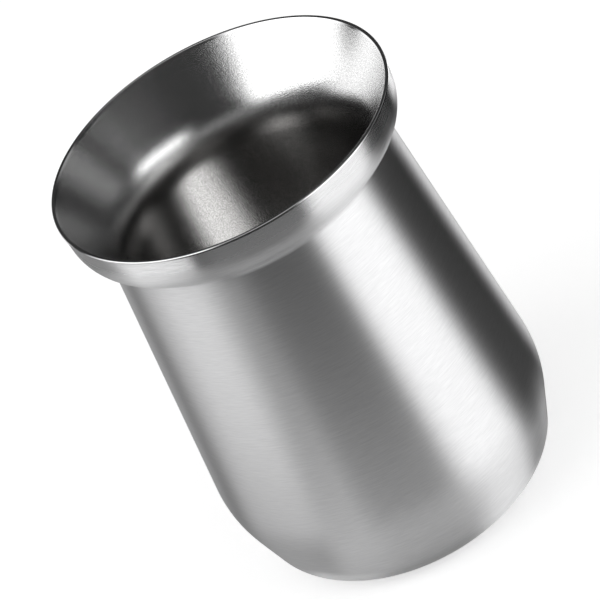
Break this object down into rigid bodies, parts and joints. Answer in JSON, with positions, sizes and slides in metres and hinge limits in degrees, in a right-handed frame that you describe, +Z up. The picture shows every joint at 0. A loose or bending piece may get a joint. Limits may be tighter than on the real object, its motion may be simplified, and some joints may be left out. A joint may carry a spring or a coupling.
{
  "type": "mate cup",
  "caption": "Double-walled steel mate cup: brushed tapering body with a rolled collar, flared blasted drinking funnel, welded lip and recessed base.",
  "frame": {"origin": "centre of the plane that the foot ring stands on", "axes": "+Z up along the cup's axis, out of the mouth; +X towards the getter inside the base; -Y towards the viewer of the picture"},
  "size_m": [0.0792, 0.0792, 0.105],
  "materials": {
    "brushed_steel": "fine brushing round the axis, satin",
    "blasted_steel": "bead-blasted, fine grain",
    "polished_steel": "polished",
    "copper_foil": "bright rolled foil",
    "sintered_powder": "matt pressed metal powder",
    "solder_glass": "melted, glossy"
  },
  "bodies": {
    "root": {"outer_shell": "brushed_steel", "lip_weld": "polished_steel", "inner_liner": "blasted_steel", "heat_shield": "copper_foil", "base_pan": "brushed_steel", "base_weld": "brushed_steel", "getter_pocket": "polished_steel", "getter_pill": "sintered_powder", "seal_bead": "solder_glass", "base_cover": "polished_steel"}
  },
  "joints": []
}
